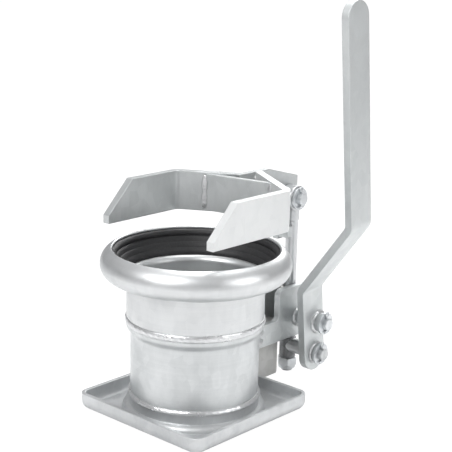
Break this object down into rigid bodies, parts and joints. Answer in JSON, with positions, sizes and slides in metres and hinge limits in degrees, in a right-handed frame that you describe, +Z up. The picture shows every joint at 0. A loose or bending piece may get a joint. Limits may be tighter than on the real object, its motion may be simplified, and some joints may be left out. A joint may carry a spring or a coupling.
{
  "type": "flanged quick coupling",
  "caption": "Flanged ball-joint quick coupling for a water pipe: square tray flange, bell socket with rubber seal, and an over-centre lever that pulls a two-armed fork down.",
  "frame": {"origin": "centre of the pipe bore in the plane of the flange's underside", "axes": "+Z up along the pipe to the bell mouth, +Y from the pipe to the closing mechanism, +X along the mechanism's pins to the lever"},
  "size_m": [0.2453, 0.3188, 0.5075],
  "materials": {
    "flange_steel": "satin",
    "body_steel": "satin",
    "flat_bar": "satin",
    "rod": "semi-polished",
    "dull_steel": "dull",
    "zinc": "bright zinc",
    "weld": "as welded, galvanised",
    "insert": "matt",
    "rubber": "matt, ribbed"
  },
  "bodies": {
    "body": {"flange": "flange_steel", "tube": "body_steel", "collar_weld": "weld", "seam_weld": "weld", "bell": "body_steel", "seal": "rubber", "cheek_near": "flat_bar", "cheek_far": "flat_bar", "bracket_spacer": "flat_bar", "bracket_web": "flat_bar", "bracket_welds": "weld", "pivot_pin": "dull_steel", "pivot_weld": "weld", "pivot_washer": "zinc", "pivot_split_pin": "zinc"},
    "lever": {"lever": "flat_bar", "pivot_boss": "flat_bar", "trunnion_bush": "flat_bar"},
    "tie_rod": {"trunnion_sleeve": "dull_steel", "trunnion_pin": "dull_steel", "trunnion_washer": "zinc", "trunnion_split_pin": "zinc", "eye_bolt": "rod", "lock_nut": "zinc", "nut_insert": "insert"},
    "fork": {"arm_near": "flat_bar", "arm_far": "flat_bar", "brace": "flat_bar", "lug": "flat_bar", "fork_stop": "flat_bar", "fork_welds": "weld", "fork_pin": "zinc", "fork_pin_weld": "weld", "fork_washer": "zinc", "fork_split_pin": "zinc"}
  },
  "joints": [
    {"name": "lever_pivot", "type": "hinge", "parent": "body", "child": "lever", "pos_m": [0, 0.1835, 0.083], "axis": [1, 0, 0], "range_deg": [0, 90]},
    {"name": "trunnion_turn", "type": "hinge", "parent": "lever", "child": "tie_rod", "pos_m": [0, 0.1825, 0.04], "axis": [1, 0, 0], "range_deg": [-90, 0]},
    {"name": "fork_hinge", "type": "hinge", "parent": "tie_rod", "child": "fork", "pos_m": [0, 0.1825, 0.243], "axis": [1, 0, 0], "range_deg": [-100, 0]}
  ],
  "couplings": [
    {"joint": "trunnion_turn", "follows": "lever_pivot", "ratio": -1}
  ]
}
